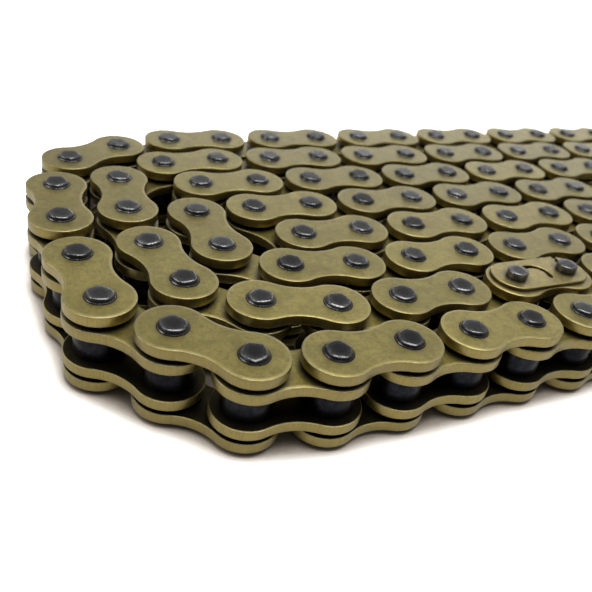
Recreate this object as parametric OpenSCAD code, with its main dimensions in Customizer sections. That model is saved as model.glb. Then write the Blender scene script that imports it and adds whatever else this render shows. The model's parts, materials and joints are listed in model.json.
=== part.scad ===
// Sealed roller chain for a motorcycle drive, lying on its side as a flat coil.
// Odd-numbered links counted from the inner end are outer links, the others are inner links.
// The path starts at the inner end, and every turn of the coil goes the same way round.
// +Z is up, and the rows of the coil run along X. The origin is the middle of the coil's
// footprint, on the surface that the lower pin heads rest on.

/* [Chain size] */
// Distance between neighbouring pin axes
pitch = 15.875; // [15.7:0.025:16.05]
// Clear width between the inner plates
inner_width = 6.35; // [5:0.05:9.5]
// Thickness of every link plate
plate_t = 2.3; // [1.8:0.1:2.6]
// Gap between an inner plate and the outer plate beside it
seal_gap = 1.1; // [0.9:0.05:1.5]
// Distance between neighbouring rows of the coil
row_spacing = 14.25; // [14.2:0.05:14.6]

/* [Plate outlines] */
// Radius of the round ends of an outer plate
outer_lobe_r = 6.9; // [6.2:0.05:6.95]
// Width of an outer plate at its waist
outer_waist = 10.2; // [9:0.1:11.4]
// Radius of the round ends of an inner plate
inner_lobe_r = 7.05; // [6.4:0.05:7.05]
// Width of an inner plate at its waist
inner_waist = 10.6; // [9:0.1:11.6]

/* [Pins, bushes and rollers] */
// Diameter of a pin
pin_d = 5.24; // [4.6:0.02:5.4]
// Radial clearance between a pin and its bush
pin_play = 0.04; // [0.02:0.01:0.08]
// Outer diameter of a bush
bush_d = 7.2; // [7:0.05:7.6]
// How far a bush stands out of its inner plate at each end
bush_proud = 0.35; // [0.1:0.05:0.6]
// Outer diameter of a roller
roller_d = 10.16; // [9.8:0.02:10.3]
// Radial clearance between a roller and its bush
roller_play = 0.05; // [0.02:0.01:0.1]
// Clearance between a roller's end and the inner plate
roller_end_play = 0.12; // [0.05:0.01:0.3]
// Diameter of a riveted pin head where it meets the plate
rivet_d = 5.9; // [5.6:0.1:6.6]
// Diameter of the flat top of a riveted pin head
rivet_flat_d = 4.7; // [3.6:0.1:5.2]
// Height of a riveted pin head
rivet_h = 1; // [0.6:0.1:1.4]

/* [Seals] */
// Outer diameter of a seal ring
seal_d = 10.2; // [9:0.1:11.5]
// Radial clearance between a seal ring and its bush
seal_play = 0.1; // [0.05:0.01:0.2]
// Clearance between a seal ring and each plate
seal_end_play = 0.02; // [0.01:0.01:0.05]
// Depth of the groove between two lips of a seal ring
seal_groove = 0.22; // [0.1:0.02:0.4]

/* [Clip link] */
// Thickness of the spring clip
clip_t = 0.8; // [0.6:0.05:0.85]
// Half the width of the spring clip
clip_r = 5.6; // [5:0.1:6]
// How far the clip's middle line lies beyond the pins' line
clip_offset = 0.6; // [0:0.1:0.8]
// Height of the pin groove that holds the clip
groove_h = 0.9; // [0.9:0.05:1.3]
// Diameter of the pin at the bottom of that groove
groove_d = 4.2; // [3.6:0.05:4.6]
// Height of the pin above the groove
clip_head_h = 1.85; // [0.8:0.05:2.2]
// Width of the slit that lets the clip spring
slit_w = 1.1; // [0.6:0.05:1.2]
// Radius of the curved part of that slit
slit_r = 3.4; // [2.8:0.1:3.6]

/* [Hidden] */
$fn = 96;
EPS = 0.01;

// Heights of the chain's layers above the surface it rests on
lower_outer_z = rivet_h;
lower_seal_z = lower_outer_z + plate_t;
lower_inner_z = lower_seal_z + seal_gap;
roller_z = lower_inner_z + plate_t;
upper_inner_z = roller_z + inner_width;
upper_seal_z = upper_inner_z + plate_t;
upper_outer_z = upper_seal_z + seal_gap;
upper_face_z = upper_outer_z + plate_t;
pin_len = upper_face_z + rivet_h;

// Headings of the links in each turn of the coil, counted from the row that the turn starts in.
// The last link of each turn is added by closed_turn(), so that the rows stay row_spacing apart.
left_turn_1 = [];
left_turn_2 = [68, 92, 139];
left_turn_3 = [5, 31, 84, 92, 101, 143, 163];
left_turn_4 = [14, 28, 69, 84, 92, 94, 131, 136, 169];
right_turn_1 = [64];
right_turn_2 = [9, 41, 69, 98, 142];
right_turn_3 = [26, 49, 67, 84, 102, 127];

function total(v, i = 0) = i < len(v) ? v[i] + total(v, i + 1) : 0;
function rise(turn) = total([for (h = turn) sin(h)]);
function closed_turn(turn, rows) =
    concat(turn, [180 - asin(rows * row_spacing / pitch - rise(turn))]);
function row(start_heading, links) = [for (i = [1 : links]) start_heading];
function turned(turn, start_heading) = [for (h = turn) start_heading + h];

headings = concat(
    row(180, 8), turned(closed_turn(left_turn_1, 1), 180),
    row(0, 9), closed_turn(right_turn_1, 2),
    row(180, 10), turned(closed_turn(left_turn_2, 3), 180),
    row(0, 9), closed_turn(right_turn_2, 4),
    row(180, 10), turned(closed_turn(left_turn_3, 5), 180),
    row(0, 10), closed_turn(right_turn_3, 6),
    row(180, 12), turned(closed_turn(left_turn_4, 7), 180),
    row(0, 5)
);
links = len(headings);
swing_links = 15;
first_swing = links - swing_links;
clip_link = 69;

// Pin positions along the path, then the same with the footprint's middle at the origin
path = [for (i = 0, p = [0, 0]; i <= links;
             p = p + pitch * [cos(headings[min(i, links - 1)]), sin(headings[min(i, links - 1)])],
             i = i + 1) p];
path_x = [for (p = path) p.x];
path_y = [for (p = path) p.y];
middle = [(min(path_x) + max(path_x)) / 2, (min(path_y) + max(path_y)) / 2];
pin_at = [for (p = path) p - middle];

inner_links = [for (i = [0 : 2 : first_swing - 1]) i];
outer_links = [for (i = [1 : 2 : first_swing - 1]) if (i != clip_link) i];

function is_inner(link) = link % 2 == 0;
function swing_name(n) = str("link_", n < 10 ? "0" : "", n);
function swing_nodes(n) =
    n == swing_links ? ["_inner_plates", "_bushes"] :
    is_inner(first_swing + n - 1) ? ["_inner_plates", "_bushes", "_rollers"] :
    ["_outer_plates", "_pins", "_seals"];

module at_link(link) {
    translate([pin_at[link].x, pin_at[link].y, 0])
        rotate([0, 0, headings[link]])
            children();
}

module at_pin(pin) {
    translate([pin_at[pin].x, pin_at[pin].y, 0])
        children();
}

// Figure-of-eight outline of a plate, from the pin at its origin to the next one along +X
module plate_outline(lobe_r, waist, bore_d) {
    half = pitch / 2;
    waist_r = 1.15 * (pow(waist / 2, 2) + half * half - lobe_r * lobe_r) / (2 * lobe_r - waist);
    waist_y = waist / 2 + waist_r;
    difference() {
        union() {
            circle(r = lobe_r);
            translate([pitch, 0])
                circle(r = lobe_r);
            difference() {
                translate([0, -0.9 * lobe_r])
                    square([pitch, 1.8 * lobe_r]);
                translate([half, waist_y])
                    circle(r = waist_r);
                translate([half, -waist_y])
                    circle(r = waist_r);
            }
        }
        circle(d = bore_d);
        translate([pitch, 0])
            circle(d = bore_d);
    }
}

module outer_plate(z, bore_d = pin_d) {
    color([0.66, 0.60, 0.34])
        translate([0, 0, z])
            linear_extrude(plate_t)
                plate_outline(outer_lobe_r, outer_waist, bore_d);
}

module inner_plate(z) {
    color([0.60, 0.54, 0.30])
        translate([0, 0, z])
            linear_extrude(plate_t)
                plate_outline(inner_lobe_r, inner_waist, bush_d);
}

// Half section of a pin: a shaft with a spread, flat-topped head at each end
module riveted_pin() {
    shoulder_r = (rivet_d + rivet_flat_d) / 4 + 0.12;
    color([0.20, 0.21, 0.24])
        rotate_extrude()
            polygon([[0, 0], [rivet_flat_d / 2, 0], [shoulder_r, 0.35 * rivet_h],
                     [rivet_d / 2, rivet_h], [pin_d / 2, rivet_h],
                     [pin_d / 2, pin_len - rivet_h], [rivet_d / 2, pin_len - rivet_h],
                     [shoulder_r, pin_len - 0.35 * rivet_h], [rivet_flat_d / 2, pin_len], [0, pin_len]]);
}

// Pin of the clip link: riveted below, grooved for the clip above
module clip_pin() {
    r = pin_d / 2;
    groove_top = upper_face_z + groove_h;
    top = groove_top + clip_head_h;
    chamfer = 0.3;
    color([0.24, 0.25, 0.27])
        rotate_extrude()
            polygon([[0, 0], [rivet_flat_d / 2, 0], [rivet_d / 2, rivet_h], [r, rivet_h],
                     [r, upper_face_z], [groove_d / 2, upper_face_z], [groove_d / 2, groove_top],
                     [r, groove_top], [r, top - chamfer], [r - chamfer, top], [0, top]]);
}

module bush() {
    inner_r = pin_d / 2 + pin_play;
    color([0.16, 0.16, 0.17])
        rotate_extrude()
            translate([inner_r, lower_inner_z - bush_proud])
                square([bush_d / 2 - inner_r, 2 * plate_t + inner_width + 2 * bush_proud]);
}

module roller() {
    inner_r = bush_d / 2 + roller_play;
    outer_r = roller_d / 2;
    low = roller_z + roller_end_play;
    high = roller_z + inner_width - roller_end_play;
    chamfer = 0.35;
    color([0.11, 0.11, 0.12])
        rotate_extrude()
            polygon([[inner_r, low], [outer_r - chamfer, low], [outer_r, low + chamfer],
                     [outer_r, high - chamfer], [outer_r - chamfer, high], [inner_r, high]]);
}

// Four-lipped seal ring around the end of a bush
module seal_ring(gap_z) {
    inner_r = bush_d / 2 + seal_play;
    outer_r = seal_d / 2;
    middle_r = (inner_r + outer_r) / 2;
    low = gap_z + seal_end_play;
    high = gap_z + seal_gap - seal_end_play;
    middle_z = gap_z + seal_gap / 2;
    color([0.07, 0.07, 0.08])
        rotate_extrude()
            polygon([[inner_r, low], [middle_r, low + seal_groove], [outer_r, low],
                     [outer_r - seal_groove, middle_z], [outer_r, high],
                     [middle_r, high - seal_groove], [inner_r, high], [inner_r + seal_groove, middle_z]]);
}

// Spring clip, with its closed end at the link's first pin
module spring_clip() {
    hole_d = groove_d + 0.1;
    slit_at = [6.4, -0.2];
    slit_start = 160;
    slit_end = -25;
    slit_mouth = slit_at + slit_r * [cos(slit_start), sin(slit_start)];
    mouth_heading = 75;
    mouth_w = 1.2;
    cut_h = clip_t + 2 * EPS;
    color([0.70, 0.64, 0.38])
        at_link(clip_link)
            translate([0, 0, upper_face_z + (groove_h - clip_t) / 2])
                difference() {
                    translate([0, clip_offset, 0])
                        linear_extrude(clip_t)
                            union() {
                                circle(r = clip_r);
                                translate([pitch, 0])
                                    circle(r = clip_r);
                                translate([0, -clip_r])
                                    square([pitch, 2 * clip_r]);
                            }
                    translate([0, 0, -EPS]) {
                        cylinder(d = hole_d, h = cut_h);
                        translate([pitch, 0, 0])
                            cylinder(d = hole_d, h = cut_h);
                        rotate([0, 0, atan2(slit_mouth.y, slit_mouth.x)])
                            translate([0, -slit_w / 2, 0])
                                cube([norm(slit_mouth) + 0.2, slit_w, cut_h]);
                        translate([slit_at.x, slit_at.y, 0])
                            rotate([0, 0, slit_end])
                                rotate_extrude(angle = slit_start - slit_end)
                                    translate([slit_r - slit_w / 2, 0])
                                        square([slit_w, cut_h]);
                        translate([pitch, 0, 0])
                            rotate([0, 0, mouth_heading])
                                translate([0, -mouth_w / 2, 0])
                                    cube([clip_r + clip_offset + 1, mouth_w, cut_h]);
                    }
                }
}

module pins_of(links_list) {
    for (link = links_list) {
        at_pin(link)
            riveted_pin();
        at_pin(link + 1)
            riveted_pin();
    }
}

module seals_of(links_list) {
    for (link = links_list)
        for (pin = [link, link + 1])
            for (gap_z = [lower_seal_z, upper_seal_z])
                at_pin(pin)
                    seal_ring(gap_z);
}

module bushes_of(links_list) {
    for (link = links_list)
        for (pin = [link, link + 1])
            at_pin(pin)
                bush();
}

module rollers_of(links_list) {
    for (link = links_list)
        for (pin = [link, link + 1])
            at_pin(pin)
                roller();
}

module outer_plates_of(links_list, heights) {
    for (link = links_list)
        for (z = heights)
            at_link(link)
                outer_plate(z);
}

module inner_plates_of(links_list, heights) {
    for (link = links_list)
        for (z = heights)
            at_link(link)
                inner_plate(z);
}

module clip_link_pins() {
    at_pin(clip_link)
        clip_pin();
    at_pin(clip_link + 1)
        clip_pin();
}

module clip_link_upper_plate() {
    slip = 0.03;
    at_link(clip_link)
        outer_plate(upper_outer_z, pin_d + 2 * slip);
}

// One kind of piece of one link in the free run
module swing_part(n, part) {
    link = first_swing + n - 1;
    if (part == "_outer_plates")
        outer_plates_of([link], [lower_outer_z, upper_outer_z]);
    if (part == "_inner_plates")
        inner_plates_of([link], [lower_inner_z, upper_inner_z]);
    if (part == "_pins")
        pins_of([link]);
    if (part == "_seals")
        seals_of([link]);
    if (part == "_bushes")
        bushes_of([link]);
    if (part == "_rollers")
        rollers_of([link]);
}

outer_plates_of(outer_links, [lower_outer_z]);  // outer_plates_lower
outer_plates_of(outer_links, [upper_outer_z]);  // outer_plates_upper
inner_plates_of(inner_links, [lower_inner_z]);  // inner_plates_lower
inner_plates_of(inner_links, [upper_inner_z]);  // inner_plates_upper
pins_of(outer_links);  // riveted_pins
bushes_of(inner_links);  // bushes
rollers_of(inner_links);  // rollers
seals_of(outer_links);  // seal_rings
clip_link_pins();
outer_plates_of([clip_link], [lower_outer_z]);  // clip_link_lower_plate
clip_link_upper_plate();
seals_of([clip_link]);  // clip_link_seals
spring_clip();
for (n = [1 : swing_links])
    for (part = swing_nodes(n))
        swing_part(n, part);
at_pin(links - 1) roller();  // end_roller_a
at_pin(links) roller();  // end_roller_b
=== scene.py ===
import json
import math

import bmesh
import bpy
import numpy as np
from mathutils import Matrix, Vector

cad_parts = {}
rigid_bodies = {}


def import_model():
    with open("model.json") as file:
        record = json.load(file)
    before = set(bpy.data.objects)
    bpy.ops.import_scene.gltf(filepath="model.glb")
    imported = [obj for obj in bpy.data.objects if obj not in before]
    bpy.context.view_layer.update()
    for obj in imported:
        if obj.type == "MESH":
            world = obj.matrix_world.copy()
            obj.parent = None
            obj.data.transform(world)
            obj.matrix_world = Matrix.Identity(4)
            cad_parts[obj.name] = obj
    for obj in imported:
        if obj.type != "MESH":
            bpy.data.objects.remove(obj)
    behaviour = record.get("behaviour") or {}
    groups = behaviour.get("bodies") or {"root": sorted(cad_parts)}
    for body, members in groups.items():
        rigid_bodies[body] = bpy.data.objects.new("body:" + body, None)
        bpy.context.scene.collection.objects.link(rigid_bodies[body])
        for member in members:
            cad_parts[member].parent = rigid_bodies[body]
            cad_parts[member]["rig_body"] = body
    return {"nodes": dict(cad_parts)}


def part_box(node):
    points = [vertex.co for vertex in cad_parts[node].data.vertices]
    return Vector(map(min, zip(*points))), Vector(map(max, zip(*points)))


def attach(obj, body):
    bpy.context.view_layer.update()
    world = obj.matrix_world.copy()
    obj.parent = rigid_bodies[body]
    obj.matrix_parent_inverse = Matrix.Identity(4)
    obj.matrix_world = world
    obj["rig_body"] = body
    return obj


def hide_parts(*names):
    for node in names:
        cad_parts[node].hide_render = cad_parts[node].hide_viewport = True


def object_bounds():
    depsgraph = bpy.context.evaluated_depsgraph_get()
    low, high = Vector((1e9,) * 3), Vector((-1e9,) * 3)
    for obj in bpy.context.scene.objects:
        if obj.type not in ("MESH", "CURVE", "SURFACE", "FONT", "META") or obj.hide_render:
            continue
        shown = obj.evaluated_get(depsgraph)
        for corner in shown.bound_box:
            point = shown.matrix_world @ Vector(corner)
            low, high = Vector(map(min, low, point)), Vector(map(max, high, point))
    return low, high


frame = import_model()
CAD_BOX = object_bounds()
MM = 0.001

# Sizes that the CAD boxes don't give, in metres. First the running fits.
SHAFT_R = 2.62 * MM
BUSH_R = 3.6 * MM
PIN_PLAY = 0.04 * MM
ROLLER_PLAY = 0.05 * MM
SEAL_PLAY = 0.1 * MM
PLATE_GAP = 0.004 * MM
CLIP_PLAY = 0.05 * MM

# Plates: half widths at the waist, rounding of the edges, the slight dome beside them, the holes
OUTER_WAIST = 5.1 * MM
INNER_WAIST = 5.3 * MM
TOP_ROUND = 0.19 * MM
LOW_ROUND = 0.2 * MM
SLOPE_W = 0.42 * MM
SLOPE_H = 0.07 * MM
FLAT_INSET = 0.06 * MM
HOLE_CHAMFER = 0.5 * MM
CHAMFER_H = 0.3 * MM

# Pin heads, then the grooved ends of the connecting link's pins
HEAD_R = 2.95 * MM
HEAD_H = 1.0 * MM
CLIP_GROOVE_R = 2.1 * MM
TIP_R = 2.45 * MM
TIP_SOFT = 0.45 * MM

# Rounding of the other pieces' edges
BUSH_SOFT = 0.2 * MM
ROLLER_SOFT = 0.45 * MM
CLIP_SOFT = 0.2 * MM

# Spring clip: the open mouth's heading from its pin, and the curved slit
MOUTH_HEADING = 75
MOUTH_W = 1.2 * MM
SLIT_W = 1.3 * MM
SLIT_R = 3.4 * MM
SLIT_AT = (6.4 * MM, -0.2 * MM)
SLIT_SWEEP = (160, -25)

# Faces round a turned piece
PIN_STEPS = 30
TIP_STEPS = 36
BUSH_STEPS = 28
ROLLER_STEPS = 36
SEAL_STEPS = 30

# Vertices nearer than these are one vertex, and faces whose normal is nearer to upright than this
# are shaded flat
WELD = 1e-6
CLIP_WELD = 5e-6
FLAT_NORMAL = 0.9995

# Largest angle between two faces, in degrees, that is still shaded smooth
PLATE_SHARP = 38
CLIP_SHARP = 40
PIN_SHARP = 50
SEAL_SHARP = 60


# ---------------------------------------------------------------- frame readers

def node_body(node):
    """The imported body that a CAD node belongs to."""
    return frame["nodes"][node]["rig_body"]


def joined(count, a, b):
    """A number for each of count points, the same for points that edges a-b join together."""
    label = np.arange(count)
    while True:
        low = np.minimum(label[a], label[b])
        new = label.copy()
        np.minimum.at(new, a, low)
        np.minimum.at(new, b, low)
        new = new[new]
        if (new == label).all():
            return np.unique(label, return_inverse=True)[1]
        label = new


def solids(node):
    """Lowest and highest corners of every separate solid of a CAD node."""
    mesh = frame["nodes"][node].data
    co = np.empty(len(mesh.vertices) * 3, np.float32)
    mesh.vertices.foreach_get("co", co)
    co = co.reshape(-1, 3).astype(float)
    edge = np.empty(len(mesh.edges) * 2, np.int32)
    mesh.edges.foreach_get("vertices", edge)
    key = np.round(co / WELD).astype(np.int64)
    _, first, same = np.unique(key, axis=0, return_index=True, return_inverse=True)
    a, b = same.ravel()[edge.reshape(-1, 2)].T
    part = joined(len(first), a, b)
    count = part.max() + 1
    lo = np.full((count, 3), np.inf)
    hi = np.full((count, 3), -np.inf)
    np.minimum.at(lo, part, co[first])
    np.maximum.at(hi, part, co[first])
    order = np.lexsort((np.round(lo[:, 2], 5), np.round(lo[:, 1], 5), np.round(lo[:, 0], 5)))
    return [(lo[i], hi[i]) for i in order]


NODES = sorted(frame["nodes"])
SOLIDS = {node: solids(node) for node in NODES}


def centres(suffix):
    """Axes of all the solids in the nodes whose names end so, as an array of (x, y)."""
    return np.array([(lo + hi)[:2] / 2 for node in NODES if node.endswith(suffix)
                     for lo, hi in SOLIDS[node]])


PINS = centres("pins")
BUSHES = centres("bushes")


def ends_of(lo, hi, anchors):
    """The two pin or bush centres that a plate sits on."""
    middle = (lo + hi)[:2] / 2
    near = np.argsort(np.linalg.norm(anchors - middle, axis=1))[:2]
    a, b = anchors[near[0]], anchors[near[1]]
    return (a, b) if tuple(np.round(a, 6)) < tuple(np.round(b, 6)) else (b, a)


# ---------------------------------------------------------------- mesh building

class Shape:
    """Vertices, faces and the marks of the vertices: wear from 0 to 1, which on the gold also
    paints a highlight, or INWARD.
    """

    def __init__(self, verts, faces, edge=None):
        self.verts = np.array(verts, float)
        self.sizes = np.array([len(f) for f in faces], np.int32)
        self.loops = np.array([i for f in faces for i in f], np.int32)
        self.edge = np.zeros(len(self.verts)) if edge is None else np.array(edge, float)


def placed(shape, origin, heading=0.0, flip=False):
    """A copy of the shape turned to the heading and moved to the origin."""
    v = shape.verts.copy()
    if flip:
        v[:, 1:] *= -1
    c, s = math.cos(heading), math.sin(heading)
    x, y = v[:, 0] * c - v[:, 1] * s, v[:, 0] * s + v[:, 1] * c
    v[:, 0], v[:, 1] = x + origin[0], y + origin[1]
    v[:, 2] += origin[2]
    copy = Shape.__new__(Shape)
    copy.verts, copy.sizes, copy.loops, copy.edge = v, shape.sizes, shape.loops, shape.edge
    return copy


def joined_mesh(name, shapes):
    """One mesh that holds all the shapes."""
    mesh = bpy.data.meshes.new(name)
    offsets = np.cumsum([0] + [len(s.verts) for s in shapes])
    verts = np.concatenate([s.verts for s in shapes])
    loops = np.concatenate([s.loops + o for s, o in zip(shapes, offsets)])
    sizes = np.concatenate([s.sizes for s in shapes])
    mesh.vertices.add(len(verts))
    mesh.vertices.foreach_set("co", verts.astype(np.float32).ravel())
    mesh.loops.add(len(loops))
    mesh.loops.foreach_set("vertex_index", loops.astype(np.int32))
    mesh.polygons.add(len(sizes))
    starts = np.concatenate([[0], np.cumsum(sizes)[:-1]]).astype(np.int32)
    mesh.polygons.foreach_set("loop_start", starts)
    mesh.update(calc_edges=True)
    return mesh


def add_values(mesh, name, values):
    """Gives every vertex a number that the materials can read."""
    layer = mesh.attributes.new(name, "FLOAT", "POINT")
    layer.data.foreach_set("value", np.concatenate(values).astype(np.float32))


def build(name, shapes, tones, mat, node, sharp=PLATE_SHARP):
    """Joins shapes into one object that stands for a CAD node."""
    mesh = joined_mesh(name, shapes)
    up = np.empty(len(mesh.polygons) * 3, np.float32)
    mesh.polygons.foreach_get("normal", up)
    mesh.set_sharp_from_angle(angle=math.radians(sharp))
    mesh.polygons.foreach_set("use_smooth", np.abs(up[2::3]) < FLAT_NORMAL)
    add_values(mesh, "tone", [np.full(len(s.verts), t) for s, t in zip(shapes, tones)])
    add_values(mesh, "edge", [s.edge for s in shapes])
    mesh.materials.append(mat)
    obj = bpy.data.objects.new(name, mesh)
    bpy.context.scene.collection.objects.link(obj)
    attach(obj, node_body(node))
    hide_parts(node)
    return obj


def lathe(profile, segments, edge=None):
    """Turns (radius, height) points about Z, each with a mark from edge. A profile that starts and
    ends on the axis makes a solid, and any other profile is closed into a ring."""
    solid = profile[0][0] == 0 and profile[-1][0] == 0
    rows = profile[1:-1] if solid else profile
    marks = [0] * len(profile) if edge is None else edge
    marks = marks[1:-1] if solid else marks
    verts, value, faces = [], [], []
    for (r, z), mark in zip(rows, marks):
        for k in range(segments):
            a = 2 * math.pi * k / segments
            verts.append((r * math.cos(a), r * math.sin(a), z))
            value.append(mark)
    pairs = len(rows) - 1 if solid else len(rows)
    for i in range(pairs):
        j = (i + 1) % len(rows)
        for k in range(segments):
            m = (k + 1) % segments
            faces.append((i * segments + k, i * segments + m, j * segments + m, j * segments + k))
    if solid:
        low, high = len(verts), len(verts) + 1
        verts += [(0, 0, profile[0][1]), (0, 0, profile[-1][1])]
        value += [0, 0]
        last = (len(rows) - 1) * segments
        for k in range(segments):
            m = (k + 1) % segments
            faces.append((low, m, k))
            faces.append((high, last + k, last + m))
    return Shape(verts, faces, value)


def upright(shape, lo, hi, turn=0.0):
    """A copy of a turned piece on the axis of its CAD solid."""
    x, y = (lo + hi)[:2] / 2
    return placed(shape, (x, y, 0), turn)


# ---------------------------------------------------------------- plates

# Mark of faces that look into the gaps of the chain, which get a dark oil film that also paints in
# their shade
INWARD = -1.0
# Points along a lobe, along half a waist, and across the middle of a face
LOBE_STEPS = 28
WAIST_STEPS = 7
MIDDLE_STEPS = 6
# Wear and painted highlight of the rings of points that round off the upper and the lower edge
TOP_WEAR_AND_HIGHLIGHT = (0.3, 1, 0.6, 0.1)
LOW_WEAR_AND_HIGHLIGHT = (0.1, 0.8, 0.25)


def half_outline(half, lobe, waist):
    """Points and outward normals of the right half of a figure-of-eight plate, from the waist's
    lower middle round the lobe to the upper middle."""
    arc = (waist ** 2 + half ** 2 - lobe ** 2) / (2 * (lobe - waist))
    turn = math.atan2(waist + arc, -half)
    points, normals = [], []
    for k in range(WAIST_STEPS):
        a = math.pi / 2 - (turn - math.pi / 2) * k / WAIST_STEPS
        c, s = math.cos(a), math.sin(a)
        points.append((arc * c, -(waist + arc) + arc * s))
        normals.append((-c, -s))
    for k in range(LOBE_STEPS + 1):
        a = -turn + 2 * turn * k / LOBE_STEPS
        points.append((half + lobe * math.cos(a), lobe * math.sin(a)))
        normals.append((math.cos(a), math.sin(a)))
    for k in range(WAIST_STEPS - 1, -1, -1):
        points.append((points[k][0], -points[k][1]))
        normals.append((normals[k][0], -normals[k][1]))
    return np.array(points), np.array(normals)


def edge_rings(thick):
    """(inset, height, mark) of each ring of points down a plate's edge, from the upper face."""
    top, low = thick / 2, -thick / 2
    crown = TOP_ROUND + SLOPE_W
    found = [(crown + FLAT_INSET, top, 0), (crown, top - SLOPE_H * 0.06, 0.3)]
    for k, wear in enumerate(TOP_WEAR_AND_HIGHLIGHT):
        a = math.pi / 2 * (1 - k / 3)
        z = top - SLOPE_H - TOP_ROUND * (1 - math.sin(a))
        found.append((TOP_ROUND * (1 - math.cos(a)), z, wear))
    for k, wear in enumerate(LOW_WEAR_AND_HIGHLIGHT):
        a = math.pi / 2 * k / 2
        found.append((LOW_ROUND * (1 - math.cos(a)), low + LOW_ROUND * (1 - math.sin(a)), wear))
    return found + [(LOW_ROUND + FLAT_INSET, low, INWARD)]


def between(upper, lower):
    """Faces between two closed rows of vertices that have the same length."""
    pairs = [(k, (k + 1) % len(upper)) for k in range(len(upper))]
    return [(upper[k], upper[m], lower[m], lower[k]) for k, m in pairs]


def plate_face(verts, value, faces, outer, half, hole, ring):
    """Fills a plate's upper or lower face, from the outline in to both holes' chamfers. Returns the
    two rows of vertices at the holes' walls."""
    inset, z, mark = ring
    up = -1 if mark == INWARD else 1
    far_y = -verts[outer[0]][1]
    middle = []
    for k in range(1, MIDDLE_STEPS):
        middle.append(len(verts))
        verts.append((0, far_y * (1 - 2 * k / MIDDLE_STEPS), z))
        value.append(mark)
    side = len(outer) // 2
    walls = []
    for flip, centre in ((0, half), (1, -half)):
        loop = [outer[(flip * side + k) % len(outer)] for k in range(side + 1)]
        loop += middle[::-1] if flip else middle
        angles = [math.atan2(verts[i][1], verts[i][0] - centre) for i in loop]
        for r, depth in ((hole + HOLE_CHAMFER, 0), (hole, CHAMFER_H * up)):
            circle = list(range(len(verts), len(verts) + len(loop)))
            verts += [(centre + r * math.cos(a), r * math.sin(a), z - depth) for a in angles]
            value += [mark] * len(loop)
            faces += [f[::up] for f in between(loop, circle)]
            loop = circle
        walls.append(loop)
    return walls


def plate_shape(half, lobe, waist, hole, thick):
    """A stamped plate with rounded edges and two holes, its middle at the origin."""
    right, right_n = half_outline(half, lobe, waist)
    outline = np.concatenate([right[:-1], -right[:-1]])
    normal = np.concatenate([right_n[:-1], -right_n[:-1]])
    count = len(outline)
    rings = edge_rings(thick)
    verts, value, faces = [], [], []
    for inset, z, mark in rings:
        verts += [(x, y, z) for x, y in outline - normal * inset]
        value += [mark] * count
    rows = [list(range(i * count, (i + 1) * count)) for i in range(len(rings))]
    for upper, lower in zip(rows, rows[1:]):
        faces += [f[::-1] for f in between(upper, lower)]
    top_walls = plate_face(verts, value, faces, rows[0], half, hole, rings[0])
    low_walls = plate_face(verts, value, faces, rows[-1], half, hole, rings[-1])
    for upper, lower in zip(top_walls, low_walls):
        faces += between(upper, lower)
    return Shape(verts, faces, value)


def plates(node, name, anchors, waist, hole, mat, rng):
    """All the plates of a node, with their worn faces outward, the faces with the oil film and
    painted shade inward, and some of them end for end.
    """
    shapes, tones = [], []
    proto = None
    for lo, hi in SOLIDS[node]:
        a, b = ends_of(lo, hi, anchors)
        span = b - a
        half = np.linalg.norm(span) / 2
        if proto is None:
            lobe = ((hi - lo)[0] - abs(span[0])) / 2
            proto = plate_shape(half, lobe, waist, hole, hi[2] - lo[2])
        flip = (lo[2] + hi[2]) / 2 < MIDDLE_Z
        heading = math.atan2(span[1], span[0]) + (math.pi if rng.random() < 0.5 else 0)
        shapes.append(placed(proto, (*((a + b) / 2), (lo[2] + hi[2]) / 2), heading, flip))
        tones.append(rng.random())
    return build(name, shapes, tones, mat, node)


# ---------------------------------------------------------------- pins

def head_profile():
    """Outer half of a staked head, from the plate's face up, as (radius, height, wear) in parts of
    the head's own size."""
    foot = [(1.0, 0.0, 0.0), (1.0, 0.05, 0.4), (0.985, 0.12, 0.8), (0.945, 0.19, 0.3)]
    wall = [(0.925, 0.32, 0.0), (0.89, 0.64, 0.2), (0.855, 0.84, 0.6)]
    return foot + wall + [(0.795, 0.96, 1.0), (0.70, 1.0, 0.3), (0.36, 1.0, 0.0)]


def lower_head(low_face):
    """A pin's rows of (radius, height, wear) from its lower end up to the plate's face."""
    rows = [(r * HEAD_R, low_face - h * HEAD_H, wear) for r, h, wear in reversed(head_profile())]
    return [(0, low_face - HEAD_H, 0)] + rows


def pin_profile(low_face, high_face):
    """Whole riveted pin: lower head, shaft and upper head."""
    up = [(r * HEAD_R, high_face + h * HEAD_H, wear) for r, h, wear in head_profile()]
    shaft = [(SHAFT_R, low_face, 0), (SHAFT_R, high_face, 0)]
    return lower_head(low_face) + shaft + up + [(0, high_face + HEAD_H, 0)]


def turned_rows(rows, segments):
    """Turns rows of (radius, height, wear) about Z."""
    return lathe([(r, z) for r, z, _ in rows], segments, [wear for _, _, wear in rows])


# Staked heads: how many-sided they are and how far their tops lean, in degrees, each as a least
# value and a spread, and the share that has five sides, not six
STAKE_SIDED = (0.45, 0.35)
STAKE_LEAN = (1.0, 2.2)
FIVE_SIDED = 0.6


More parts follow.
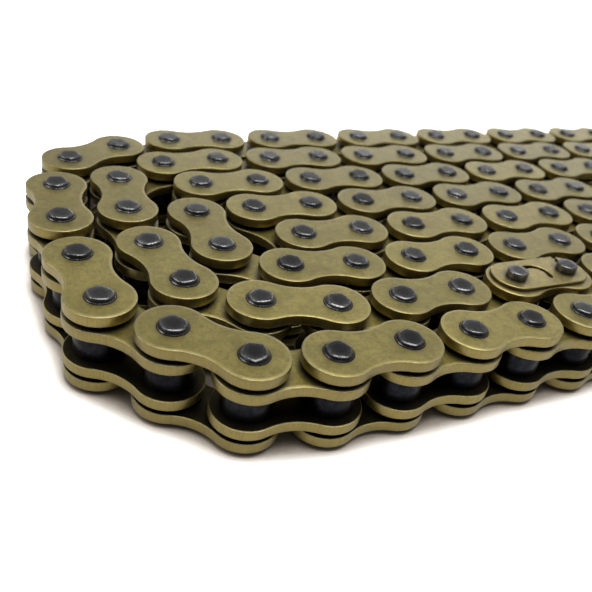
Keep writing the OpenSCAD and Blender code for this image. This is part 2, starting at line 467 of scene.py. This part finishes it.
def staked(shape, low_face, high_face, rng):
    """Gives both heads of a pin the uneven, slightly many-sided form that staking leaves."""
    v = shape.verts
    for face, sign in ((high_face, 1), (low_face, -1)):
        sides = 5 if rng.random() < FIVE_SIDED else 6
        phase, lean = rng.random() * 7, rng.random() * 2 * math.pi
        strength = STAKE_SIDED[0] + STAKE_SIDED[1] * rng.random()
        slope = math.tan(math.radians(STAKE_LEAN[0] + STAKE_LEAN[1] * rng.random()))
        height = (v[:, 2] - face) * sign / HEAD_H
        mask = height > 0.05
        h = np.clip(height[mask], 0, 1)
        x, y = v[mask, 0], v[mask, 1]
        step = 2 * math.pi / sides
        local = np.mod(np.arctan2(y, x) + phase, step) - step / 2
        many = math.cos(step / 2) / np.cos(local)
        many /= many.max()
        amount = strength * np.clip((h - 0.15) / 0.6, 0, 1)
        scale = 1 + (many - 0.93) * amount
        drop = np.clip((h - 0.5) / 0.4, 0, 1)
        lean_by = (x * math.cos(lean) + y * math.sin(lean)) * slope
        low_side = HEAD_R * 0.8 * slope
        v[mask, 0], v[mask, 1] = x * scale, y * scale
        v[mask, 2] += sign * (lean_by - low_side) * drop
    return shape


def pins(node, name, mat, rng):
    """All the riveted pins of a node."""
    shapes, tones = [], []
    for lo, hi in SOLIDS[node]:
        low_face, high_face = lo[2] + HEAD_H, hi[2] - HEAD_H
        pin = turned_rows(pin_profile(low_face, high_face), PIN_STEPS)
        shapes.append(upright(staked(pin, low_face, high_face, rng), lo, hi))
        tones.append(rng.random())
    return build(name, shapes, tones, mat, node, PIN_SHARP)


def clip_pin_profile(low_end, high_end, plate_top, groove_top):
    """Whole pin of the connecting link: lower head, shaft, groove and rounded tip."""
    low_face = low_end + HEAD_H
    rows = lower_head(low_face)
    rows += [(SHAFT_R, low_face, 0), (SHAFT_R, plate_top - 0.02 * MM, 0)]
    rows += [(CLIP_GROOVE_R, plate_top, 0), (CLIP_GROOVE_R, groove_top, 0)]
    rows.append((TIP_R, groove_top, 0.2))
    for k in range(5):
        a = math.pi / 2 * k / 4
        z = high_end - TIP_SOFT * (1 - math.sin(a)) - 0.03 * MM
        rows.append((TIP_R - TIP_SOFT * (1 - math.cos(a)), z, 0.9))
    return rows + [(TIP_R * 0.45, high_end, 0), (0, high_end, 0)]


def clip_pins(node, name, mat, rng):
    """The connecting link's pins: riveted below, grooved above, with plain rounded tops."""
    shapes, tones = [], []
    plate_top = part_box("outer_plates_upper")[1].z
    clip_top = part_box("spring_clip")[1].z
    for lo, hi in SOLIDS[node]:
        rows = clip_pin_profile(lo[2], hi[2], plate_top, clip_top + CLIP_PLAY)
        shapes.append(upright(turned_rows(rows, TIP_STEPS), lo, hi, rng.random() * 6))
        tones.append(rng.random())
    return build(name, shapes, tones, mat, node, PIN_SHARP)


# ---------------------------------------------------------------- round pieces

def ring_rows(inner, outer, low, high, soft, steps=3):
    """Cross-section of a plain ring with rounded outer edges and small inner chamfers."""
    rows = [(inner, low + soft * 0.5), (inner + soft * 0.5, low)]
    for k in range(steps + 1):
        a = math.pi / 2 * k / steps
        rows.append((outer - soft * (1 - math.sin(a)), low + soft * (1 - math.cos(a))))
    for k in range(steps + 1):
        a = math.pi / 2 * k / steps
        rows.append((outer - soft * (1 - math.cos(a)), high - soft * (1 - math.sin(a))))
    rows += [(inner + soft * 0.5, high), (inner, high - soft * 0.5)]
    return rows


def rings(node, name, inner, soft, steps, mat, slot, rng):
    """All the bushes or rollers of a node."""
    shapes, tones = [], []
    for lo, hi in SOLIDS[node]:
        outer = (hi - lo)[0] / 2
        ring = lathe(ring_rows(inner, outer, lo[2], hi[2], soft), steps)
        shapes.append(upright(ring, lo, hi, rng.random() * 6))
        tones.append(rng.random())
    return build(name, shapes, tones, mat, node)


def seal_rows(inner, outer, low, high):
    """Cross-section of an X-shaped seal: four round lips joined by a thinner middle."""
    middle_r, middle_z = (inner + outer) / 2, (low + high) / 2
    half_w, half_h = (outer - inner) / 2, (high - low) / 2
    rows = []
    for k in range(16):
        a = 2 * math.pi * k / 16 + math.pi / 16
        c, s = math.cos(a), math.sin(a)
        square = 1 / max(abs(c), abs(s))
        lip = 0.80 + 0.20 * abs(math.sin(2 * a))
        reach = min(square, 1.28) * lip
        rows.append((middle_r + half_w * np.clip(c * reach, -1, 1),
                     middle_z + half_h * np.clip(s * reach, -1, 1)))
    return rows


def seals(node, name, mat, rng):
    """All the seal rings of a node."""
    shapes, tones = [], []
    for lo, hi in SOLIDS[node]:
        outer = (hi - lo)[0] / 2
        ring = lathe(seal_rows(BUSH_R + SEAL_PLAY, outer, lo[2], hi[2]), SEAL_STEPS)
        shapes.append(upright(ring, lo, hi, rng.random() * 6))
        tones.append(rng.random())
    return build(name, shapes, tones, mat, node, SEAL_SHARP)


# ---------------------------------------------------------------- spring clip

def arc_points(cx, cy, r, start, end, steps):
    """Points along an arc from one heading to another, in degrees."""
    headings = [math.radians(start + (end - start) * k / steps) for k in range(steps + 1)]
    return [(cx + r * math.cos(a), cy + r * math.sin(a)) for a in headings]


def clip_outer(pitch, clip_r, offset, hole_r):
    """The clip's outer edge, which runs in through the mouth and round the second pin's hole."""
    along = (math.cos(math.radians(MOUTH_HEADING)), math.sin(math.radians(MOUTH_HEADING)))
    meets = []
    for side in (-1, 1):
        qx, qy = -along[1] * side * MOUTH_W / 2, along[0] * side * MOUTH_W / 2 - offset
        b = qx * along[0] + qy * along[1]
        reach = -b + math.sqrt(b * b - qx * qx - qy * qy + clip_r * clip_r)
        meets.append(math.degrees(math.atan2(qy + reach * along[1], qx + reach * along[0])))
    in_by = math.degrees(math.asin(MOUTH_W / 2 / hole_r))
    points = arc_points(pitch, offset, clip_r, -90, meets[0], 30)
    points += arc_points(pitch, 0, hole_r, MOUTH_HEADING - in_by, MOUTH_HEADING + in_by - 360, 40)
    points += arc_points(pitch, offset, clip_r, meets[1], 90, 4)
    points += [(pitch * (1 - k / 6), offset + clip_r) for k in range(1, 6)]
    points += arc_points(0, offset, clip_r, 90, 270, 40)
    points += [(pitch * k / 6, offset - clip_r) for k in range(1, 6)]
    return points


def cut_corners(line):
    """The line with every corner cut off at a quarter of its sides."""
    cut = [line[0]]
    for p, q in zip(line, line[1:]):
        cut += [(p[0] * 0.75 + q[0] * 0.25, p[1] * 0.75 + q[1] * 0.25),
                (p[0] * 0.25 + q[0] * 0.75, p[1] * 0.25 + q[1] * 0.75)]
    return cut + [line[-1]]


def slit_line(mouth):
    """Middle line of the slit, from inside the hole out to its blind end."""
    line = [(mouth[0] * t, mouth[1] * t) for t in (0.55, 0.7, 0.85)]
    line += arc_points(*SLIT_AT, SLIT_R, SLIT_SWEEP[0] - 8, SLIT_SWEEP[1], 22)
    return np.array(cut_corners(cut_corners(line)))[::2]


def clip_inner(hole_r):
    """The first pin's hole with the curved slit that opens out of it."""
    mouth = arc_points(*SLIT_AT, SLIT_R, *SLIT_SWEEP, 1)[0]
    line = slit_line(mouth)
    run = np.gradient(line, axis=0)
    run /= np.linalg.norm(run, axis=1)[:, None]
    side = np.stack([-run[:, 1], run[:, 0]], 1) * SLIT_W / 2
    left, right = line + side, line - side
    left = left[np.linalg.norm(left, axis=1) > hole_r * 1.02]
    right = right[np.linalg.norm(right, axis=1) > hole_r * 1.02]
    heading = math.degrees(math.atan2(mouth[1], mouth[0]))
    by = math.degrees(math.asin(SLIT_W / 2 / hole_r))
    end = math.degrees(math.atan2(run[-1][1], run[-1][0]))
    loop = arc_points(0, 0, hole_r, heading + by, heading - by + 360, 40)
    loop += [tuple(p) for p in right]
    loop += arc_points(line[-1][0], line[-1][1], SLIT_W / 2, end - 75, end + 75, 6)
    return loop + [tuple(p) for p in left[::-1]]


def thick_sheet(name, loops, half):
    """A sheet with softened edges between the loops, twice half thick, as a welded bmesh."""
    curve = bpy.data.curves.new(name + "_edge", "CURVE")
    curve.dimensions = "2D"
    curve.fill_mode = "BOTH"
    for loop in loops:
        spline = curve.splines.new("POLY")
        spline.points.add(len(loop) - 1)
        for point, (x, y) in zip(spline.points, loop):
            point.co = (x, y, 0, 1)
        spline.use_cyclic_u = True
    curve.extrude = half - CLIP_SOFT
    curve.bevel_depth = CLIP_SOFT
    curve.bevel_resolution = 2
    curve.offset = -CLIP_SOFT
    source = bpy.data.objects.new(name + "_edge", curve)
    bpy.context.scene.collection.objects.link(source)
    bpy.context.view_layer.update()
    depsgraph = bpy.context.evaluated_depsgraph_get()
    mesh = bpy.data.meshes.new_from_object(source.evaluated_get(depsgraph))
    bpy.data.objects.remove(source)
    work = bmesh.new()
    work.from_mesh(mesh)
    bmesh.ops.remove_doubles(work, verts=work.verts, dist=CLIP_WELD)
    bmesh.ops.recalc_face_normals(work, faces=work.faces)
    return work


def spring_clip(node, name, mat):
    """The clip, drawn with its first pin at the origin and then moved onto the pins."""
    ends = np.array([(lo + hi)[:2] / 2 for lo, hi in SOLIDS["clip_link_pins"]])
    a, b = ends[np.argsort(ends[:, 0])]
    low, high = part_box(node)
    half, middle = (high.z - low.z) / 2, (low.z + high.z) / 2
    clip_r = (high.y - low.y) / 2
    offset = (high.y + low.y) / 2 - a[1]
    hole_r = CLIP_GROOVE_R + CLIP_PLAY
    loops = [clip_outer(np.linalg.norm(b - a), clip_r, offset, hole_r), clip_inner(hole_r)]
    work = thick_sheet(name, loops, half)
    heading = math.atan2(b[1] - a[1], b[0] - a[0])
    move = Matrix.Translation(Vector((a[0], a[1], middle))) @ Matrix.Rotation(heading, 4, "Z")
    bmesh.ops.transform(work, matrix=move, verts=work.verts)
    faces = [[v.index for v in f.verts] for f in work.faces]
    verts = [tuple(v.co) for v in work.verts]
    # Rim vertices, whose mark paints a highlight and wear along the rounded edges
    edge = [1 if half * 0.6 < abs(v[2] - middle) < half * 0.999 else 0 for v in verts]
    work.free()
    return build(name, [Shape(verts, faces, edge)], [0.5], mat, node, CLIP_SHARP)


# ---------------------------------------------------------------- materials

# Colours, roughness and grain of each metal, and then the other colours
# bright is a painted highlight along the rounded edges, partly wear
# wall is a warmer gold for the walls, partly a painted reflection of the gold beside them
PLATE_GOLD = {"deep": (0.300, 0.243, 0.046), "pale": (0.362, 0.295, 0.068),
              "wall": (0.38, 0.288, 0.065), "bright": (0.70, 0.60, 0.34), "rough": 0.47}
CLIP_GOLD = {"deep": (0.41, 0.325, 0.092), "pale": (0.49, 0.392, 0.125),
             "wall": (0.50, 0.37, 0.092), "bright": (0.62, 0.50, 0.22), "rough": 0.42}
PIN_STEEL = {"base": (0.046, 0.046, 0.048), "worn": (0.30, 0.295, 0.29),
             "rough": 0.30, "grain_scale": 3200, "bump": 0.5}
TIP_STEEL = {"base": (0.075, 0.075, 0.08), "worn": (0.30, 0.30, 0.30),
             "rough": 0.36, "grain_scale": 3200, "bump": 0.4}
BUSH_STEEL = {"base": (0.06, 0.06, 0.065), "worn": (0.2, 0.2, 0.2),
              "rough": 0.35, "grain_scale": 4000, "bump": 0.3}
ROLLER_STEEL = {"base": (0.022, 0.023, 0.028), "worn": (0.1, 0.1, 0.11),
                "rough": 0.32, "grain_scale": 4200, "bump": 0.3}
# Painted shade for the nooks, then a dark oil film that also paints in the shade inside the chain
NOOK_SHADE = (0.045, 0.036, 0.020)
OIL_AND_SHADE = (0.036, 0.029, 0.019)
RUBBER = (0.012, 0.012, 0.013)
GREASE = (0.030, 0.026, 0.020)
PAPER = (0.88, 0.87, 0.85)
PAPER_SEEN = (2.7, 2.66, 2.60)
# Painted shadow beside the chain and painted shade in the pits between links
PAPER_SHADOW = (0.62, 0.52, 0.43)
PAPER_PIT_SHADE = (0.20, 0.17, 0.14)

# How far the painted shade in nooks, the painted shadow on the ground beside the chain and the
# painted shade in pits between links feel their surroundings, and the distances between which the
# floor fades, in metres
NOOK_REACH = 1.6 * MM
BESIDE_REACH = 9 * MM
PIT_REACH = 40 * MM
FADE = (0.2, 0.5)


class Graph:
    """Short way to write a node tree."""

    def __init__(self, name):
        self.mat = bpy.data.materials.new(name)
        self.mat.use_nodes = True
        self.tree = self.mat.node_tree
        self.tree.nodes.clear()
        self.out = self.add("ShaderNodeOutputMaterial")
        self.bsdf = self.add("ShaderNodeBsdfPrincipled")
        self.tree.links.new(self.bsdf.outputs[0], self.out.inputs[0])
        self.coords = self.add("ShaderNodeTexCoord").outputs["Object"]

    def add(self, kind, **values):
        node = self.tree.nodes.new(kind)
        for key, value in values.items():
            setattr(node, key, value)
        return node

    def put(self, socket, value):
        if isinstance(value, bpy.types.NodeSocket):
            self.tree.links.new(value, socket)
        elif socket.type == "RGBA" and len(value) == 3:
            socket.default_value = (*value, 1)
        else:
            socket.default_value = value

    def math(self, kind, a, b=0.0):
        node = self.add("ShaderNodeMath", operation=kind)
        for socket, value in zip(node.inputs, (a, b)):
            self.put(socket, value)
        return node.outputs[0]

    def times(self, a, b):
        return self.math("MULTIPLY", a, b)

    def plus(self, a, b):
        return self.math("ADD", a, b)

    def scaled(self, scale, turn=(0, 0, 0)):
        node = self.add("ShaderNodeMapping")
        node.inputs["Scale"].default_value = scale
        node.inputs["Rotation"].default_value = turn
        self.put(node.inputs["Vector"], self.coords)
        return node.outputs[0]

    def noise(self, scale, detail=3.0, rough=0.55, vector=None, shift=0.0):
        node = self.add("ShaderNodeTexNoise")
        self.put(node.inputs["Vector"], vector or self.coords)
        node.inputs["Scale"].default_value = scale
        node.inputs["Detail"].default_value = detail
        node.inputs["Roughness"].default_value = rough
        node.inputs["Distortion"].default_value = shift
        return node.outputs["Fac"]

    def ramp(self, value, low, high, low_out=0.0, high_out=1.0):
        node = self.add("ShaderNodeMapRange")
        for key, item in (("Value", value), ("From Min", low), ("From Max", high),
                          ("To Min", low_out), ("To Max", high_out)):
            self.put(node.inputs[key], item)
        return node.outputs[0]

    def mix(self, fac, a, b, blend="MIX"):
        node = self.add("ShaderNodeMix", data_type="RGBA", blend_type=blend)
        self.put(node.inputs[0], fac)
        self.put(node.inputs[6], a)
        self.put(node.inputs[7], b)
        return node.outputs[2]

    def value(self, name):
        return self.add("ShaderNodeAttribute", attribute_name=name).outputs["Fac"]

    def side(self):
        """1 on upright walls and 0 on flat faces."""
        split = self.add("ShaderNodeSeparateXYZ")
        self.put(split.inputs[0], self.add("ShaderNodeNewGeometry").outputs["Normal"])
        up = self.math("ABSOLUTE", split.outputs[2])
        return self.ramp(up, 0.35, 0.75, 1.0, 0.0)

    def open_sky(self, distance, samples):
        """How open the surroundings are within a distance: 1 in the open and 0 in a closed nook."""
        node = self.add("ShaderNodeAmbientOcclusion", samples=samples)
        node.inputs["Distance"].default_value = distance
        return node.outputs["AO"]

    def brightened(self, colour, gain):
        node = self.add("ShaderNodeVectorMath", operation="SCALE")
        self.put(node.inputs[0], colour)
        self.put(node.inputs["Scale"], gain)
        return node.outputs[0]

    def bump(self, height, strength, distance):
        node = self.add("ShaderNodeBump")
        node.inputs["Strength"].default_value = strength
        node.inputs["Distance"].default_value = distance
        self.put(node.inputs["Height"], height)
        return node.outputs[0]

    def finish(self, **sockets):
        """Fills the surface's sockets and returns the material."""
        for key, value in sockets.items():
            self.put(self.bsdf.inputs[key.replace("_", " ")], value)
        return self.mat


def scratches(g, count, length, width, threshold):
    """Thin straight marks in a few directions."""
    total = None
    for k in range(count):
        turn = 0.5 + 2.1 * k
        streak = g.noise(1.0, 1.0, 0.4, g.scaled((length, width, length), (0, 0, turn)), 0.5)
        line = g.ramp(streak, threshold, threshold + 0.06)
        total = line if total is None else g.math("MAXIMUM", total, line)
    return total


def dimmed(colour, by):
    """The colour with every channel multiplied by the same number."""
    return [c * by for c in colour]


def gold_faces(g, deep, pale, mottle, marks):
    """Colour of the plates' faces: soft clouds, darker blotches and mottling, fine scratches."""
    cloud = g.noise(140, 2)
    blotch = g.noise(330, 4, 0.6, shift=0.8)
    base = g.mix(g.ramp(cloud, 0.35, 0.65), deep, pale)
    base = g.mix(g.times(g.ramp(blotch, 0.44, 0.66), 0.7), base, dimmed(deep, 0.70))
    base = g.mix(g.times(g.ramp(mottle, 0.46, 0.64), 0.66), base, dimmed(deep, 0.58))
    return g.mix(g.times(marks, 0.4), base, dimmed(deep, 0.5))


def gold_walls(g, wall, mottle, striae):
    """Colour of the stamped walls, with upright streaks, in a warmer gold that is partly a painted
    reflection of the gold beside them.
    """
    walls = g.mix(g.ramp(striae, 0.35, 0.75), wall, dimmed(wall, 0.7))
    return g.mix(g.times(g.ramp(mottle, 0.45, 0.62), 0.5), walls, dimmed(wall, 0.5))


def shaded_and_oiled(g, base, inward):
    """Painted shade in the nooks, and a dark oil film with painted shade on the faces that look
    into the chain.
    """
    # Painted shade: darker wherever the surroundings close in, as round the pin heads, between
    # parts and in the clip's slit
    shade_in_nooks = g.ramp(g.open_sky(NOOK_REACH, 4), 0.60, 0.96, 0.9, 0.0)
    base = g.mix(shade_in_nooks, base, NOOK_SHADE)
    # A dark film on the faces that look into the chain, partly oil and partly painted shade
    film_and_shade = g.ramp(g.noise(260, 3), 0.3, 0.7, 0.86, 1.0)
    return g.mix(g.times(inward, film_and_shade), base, OIL_AND_SHADE)


def gold(name, deep, pale, wall, bright, rough):
    """Satin gold plating over stamped steel."""
    g = Graph(name)
    mark = g.value("edge")
    edge = g.math("MAXIMUM", mark, 0.0)
    inward = g.ramp(mark, -0.2, -0.9)
    side = g.side()
    mottle = g.noise(1150, 5, 0.62, shift=1.0)
    grain = g.noise(7000, 2, 0.6)
    marks = scratches(g, 3, 260, 3600, 0.67)
    striae = g.noise(1.0, 2, 0.6, g.scaled((5200, 5200, 260)))
    faces = gold_faces(g, deep, pale, mottle, marks)
    # Walls take their warmer gold, partly a painted reflection
    base = g.mix(side, faces, gold_walls(g, wall, mottle, striae))
    # Painted highlight along the rounded edges, partly wear, in the bright colour
    base = g.mix(g.times(edge, g.ramp(mottle, 0.38, 0.60, 0.06, 0.8)), base, bright)
    base = shaded_and_oiled(g, base, inward)
    roughness = g.ramp(grain, 0.3, 0.7, rough - 0.06, rough + 0.08)
    roughness = g.plus(roughness, g.times(edge, -0.05))
    roughness = g.plus(roughness, g.times(side, -0.04))
    height = g.plus(g.times(mottle, 0.5), g.times(grain, 0.25))
    height = g.math("SUBTRACT", height, g.times(marks, 0.3))
    height = g.plus(height, g.times(g.times(striae, side), 0.45))
    return g.finish(Base_Color=g.brightened(base, g.ramp(g.value("tone"), 0, 1, 0.88, 1.1)),
                    Metallic=1.0, Roughness=roughness,
                    Coat_Weight=g.math("SUBTRACT", 0.8, g.times(inward, 0.6)),
                    Coat_Roughness=0.42, Normal=g.bump(height, 0.35, 0.03 * MM))


def dark_steel(name, base, worn, rough, grain_scale, bump):
    """Blued or blackened steel with paler edges."""
    g = Graph(name)
    edge = g.value("edge")
    cloud = g.noise(760, 3, 0.6)
    grain = g.noise(grain_scale, 3, 0.65)
    colour = g.mix(g.ramp(cloud, 0.35, 0.7), base, dimmed(base, 0.55))
    colour = g.mix(g.times(edge, g.ramp(grain, 0.35, 0.65, 0.15, 0.9)), colour, worn)
    roughness = g.ramp(cloud, 0.3, 0.7, rough - 0.08, rough + 0.1)
    roughness = g.plus(roughness, g.times(edge, -0.08))
    height = g.plus(g.times(cloud, 0.6), g.times(grain, 0.4))
    return g.finish(Base_Color=g.brightened(colour, g.ramp(g.value("tone"), 0, 1, 0.75, 1.3)),
                    Metallic=1.0, Roughness=roughness, Normal=g.bump(height, bump, 0.06 * MM))


def rubber(name):
    """Black seals with a thin film of grease."""
    g = Graph(name)
    film = g.noise(900, 3)
    colour = g.mix(g.ramp(film, 0.35, 0.7), RUBBER, GREASE)
    return g.finish(Base_Color=g.brightened(colour, g.ramp(g.value("tone"), 0, 1, 0.8, 1.3)),
                    Roughness=g.ramp(film, 0.3, 0.7, 0.3, 0.55),
                    Normal=g.bump(g.noise(9000, 2), 0.3, 0.03 * MM))


def paper(name):
    """The pale studio floor. The camera sees it near white in the open, with a painted brown shadow
    beside the chain and painted dark shade in the pits between links, and it fades to plain white
    far away. Other rays meet plain pale paper."""
    g = Graph(name)
    camera_ray = g.add("ShaderNodeLightPath").outputs["Is Camera Ray"]
    # Painted shadow beside the chain, then painted shade in the pits between links
    beside = g.ramp(g.open_sky(BESIDE_REACH, 8), 0.52, 0.84, 1.0, 0.0)
    seen = g.mix(beside, PAPER_SEEN, PAPER_SHADOW)
    pit = g.ramp(g.open_sky(PIT_REACH, 8), 0.24, 0.50, 0.8, 0.0)
    seen = g.mix(pit, seen, PAPER_PIT_SHADE)
    colour = g.mix(camera_ray, PAPER, seen)
    fibre = g.ramp(g.noise(60, 3), 0.3, 0.7, 0.93, 0.96)
    reach = g.add("ShaderNodeVectorMath", operation="LENGTH")
    g.put(reach.inputs[0], g.coords)
    far = g.times(g.ramp(reach.outputs["Value"], *FADE), camera_ray)
    return g.finish(Base_Color=g.mix(1.0, colour, fibre, "MULTIPLY"), Roughness=0.9,
                    Emission_Color=(1, 1, 1), Emission_Strength=far)


# ---------------------------------------------------------------- the chain

# Height of the chain's middle: plates below it are upside down
MIDDLE_Z = (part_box("rollers")[0].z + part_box("rollers")[1].z) / 2
SEED = 7


def chain():
    """Draws every CAD node. The random numbers are drawn in the order of the nodes' names."""
    plate_gold = gold("plate_gold", **PLATE_GOLD)
    clip_gold = gold("clip_gold", **CLIP_GOLD)
    pin_steel = dark_steel("pin_steel", **PIN_STEEL)
    tip_steel = dark_steel("tip_steel", **TIP_STEEL)
    bush_steel = dark_steel("bush_steel", **BUSH_STEEL)
    roller_steel = dark_steel("roller_steel", **ROLLER_STEEL)
    seal_rubber = rubber("seal_rubber")
    rng = np.random.default_rng(SEED)
    pin_hole, bush_hole = SHAFT_R + PLATE_GAP, BUSH_R + PLATE_GAP
    for node in NODES:
        name = node + "_look"
        if node == "spring_clip":
            spring_clip(node, name, clip_gold)
        elif node == "clip_link_pins":
            clip_pins(node, name, tip_steel, rng)
        elif node == "clip_link_upper_plate":
            plates(node, name, PINS, OUTER_WAIST, pin_hole, clip_gold, rng)
        elif "inner_plates" in node:
            plates(node, name, BUSHES, INNER_WAIST, bush_hole, plate_gold, rng)
        elif "plate" in node:
            plates(node, name, PINS, OUTER_WAIST, pin_hole, plate_gold, rng)
        elif node.endswith("pins"):
            pins(node, name, pin_steel, rng)
        elif node.endswith("bushes"):
            rings(node, name, SHAFT_R + PIN_PLAY, BUSH_SOFT, BUSH_STEPS,
                  bush_steel, "bush_steel", rng)
        elif "roller" in node:
            rings(node, name, BUSH_R + ROLLER_PLAY, ROLLER_SOFT, ROLLER_STEPS,
                  roller_steel, "roller_steel", rng)
        else:
            seals(node, name, seal_rubber, rng)


# ---------------------------------------------------------------- studio

FLOOR_HALF = 6.0
FLOOR_DROP = 0.1 * MM

# Where the sky is brightest, and how its light runs from the dim side to the bright side
SKY_TOWARD = (0.50, 0.82, 0.28)
SKY_RANGE = {"From Min": -0.7, "From Max": 0.8, "To Min": 0.14, "To Max": 0.52}


def floor():
    """One flat square just under the chain."""
    mesh = bpy.data.meshes.new("floor")
    corners = [(x * FLOOR_HALF, y * FLOOR_HALF, 0) for x, y in ((-1, -1), (1, -1), (1, 1), (-1, 1))]
    mesh.from_pydata(corners, [], [(0, 1, 2, 3)])
    mesh.materials.append(paper("floor_paper"))
    obj = bpy.data.objects.new("floor", mesh)
    bpy.context.scene.collection.objects.link(obj)
    obj.location.z = CAD_BOX[0].z - FLOOR_DROP


def lamp(name, at, size, power, colour=(1, 1, 1)):
    """A soft rectangular lamp that faces the middle of the chain."""
    data = bpy.data.lights.new(name, "AREA")
    data.shape = "RECTANGLE"
    data.size, data.size_y = size
    data.energy = power
    data.color = colour
    obj = bpy.data.objects.new(name, data)
    bpy.context.scene.collection.objects.link(obj)
    obj.location = at
    obj.rotation_mode = "QUATERNION"
    obj.rotation_quaternion = (-Vector(at)).to_track_quat("-Z", "Y")


def sky():
    """White for the camera, and otherwise brighter behind the chain than on the near side."""
    world = bpy.data.worlds.new("studio")
    bpy.context.scene.world = world
    world.use_nodes = True
    tree = world.node_tree
    back = tree.nodes["Background"]
    coords = tree.nodes.new("ShaderNodeTexCoord")
    dot = tree.nodes.new("ShaderNodeVectorMath")
    dot.operation = "DOT_PRODUCT"
    dot.inputs[1].default_value = SKY_TOWARD
    tree.links.new(coords.outputs["Generated"], dot.inputs[0])
    level = tree.nodes.new("ShaderNodeMapRange")
    level.interpolation_type = "SMOOTHSTEP"
    for key, item in SKY_RANGE.items():
        level.inputs[key].default_value = item
    tree.links.new(dot.outputs["Value"], level.inputs["Value"])
    path = tree.nodes.new("ShaderNodeLightPath")
    seen = tree.nodes.new("ShaderNodeMix")
    tree.links.new(path.outputs["Is Camera Ray"], seen.inputs[0])
    tree.links.new(level.outputs[0], seen.inputs[2])
    seen.inputs[3].default_value = 1.0
    tree.links.new(seen.outputs[0], back.inputs[1])
    back.inputs[0].default_value = (1, 1, 1, 1)


def lamps():
    """Each lamp's place, size, power and colour."""
    lamp("overhead", (0.02, -0.06, 0.9), (0.80, 0.60), 5.8)
    lamp("left_soft", (-0.9, 0.25, 0.7), (0.6, 0.5), 2.5, (1, 0.985, 0.96))
    lamp("back_soft", (0.62, 0.95, 0.30), (1.2, 0.3), 1.3)


# The camera's place in metres, its heading from +Y towards +X, its downward tilt and its roll.
# Its lens and sensor are in millimetres, and its range in metres.
CAMERA_AT = Vector((-0.14825, -0.129775, 0.09387))
CAMERA_HEADING = math.radians(31.5)
CAMERA_PITCH = math.radians(33.05)
CAMERA_ROLL = math.radians(11.25)
CAMERA_LENS = 41.39
CAMERA_SENSOR = 36
CAMERA_RANGE = (0.01, 20)
CAMERA_FSTOP = 32


def camera_turn():
    """The camera's rotation from its heading, tilt and roll."""
    s, c = math.sin(CAMERA_HEADING), math.cos(CAMERA_HEADING)
    se, ce = math.sin(CAMERA_PITCH), math.cos(CAMERA_PITCH)
    right, up = Vector((c, -s, 0)), Vector((s * se, c * se, ce))
    forward = Vector((s * ce, c * ce, -se))
    sr, cr = math.sin(CAMERA_ROLL), math.cos(CAMERA_ROLL)
    x = right * cr + up * sr
    y = up * cr - right * sr
    return Matrix((x, y, -forward)).transposed()


def camera():
    """The photo's viewpoint, focused on the front left of the chain."""
    data = bpy.data.cameras.new("camera")
    data.sensor_width = CAMERA_SENSOR
    data.lens = CAMERA_LENS
    data.clip_start, data.clip_end = CAMERA_RANGE
    obj = bpy.data.objects.new("camera", data)
    bpy.context.scene.collection.objects.link(obj)
    obj.matrix_world = Matrix.Translation(CAMERA_AT) @ camera_turn().to_4x4()
    bpy.context.scene.camera = obj
    focus = bpy.data.objects.new("focus", None)
    bpy.context.scene.collection.objects.link(focus)
    focus.location = ((CAD_BOX[0].x * 3 + CAD_BOX[1].x) / 4, CAD_BOX[0].y * 0.8, CAD_BOX[1].z)
    data.dof.use_dof = True
    data.dof.focus_object = focus
    data.dof.aperture_fstop = CAMERA_FSTOP


bpy.context.scene.view_settings.view_transform = "Standard"
chain()
floor()
sky()
lamps()
camera()
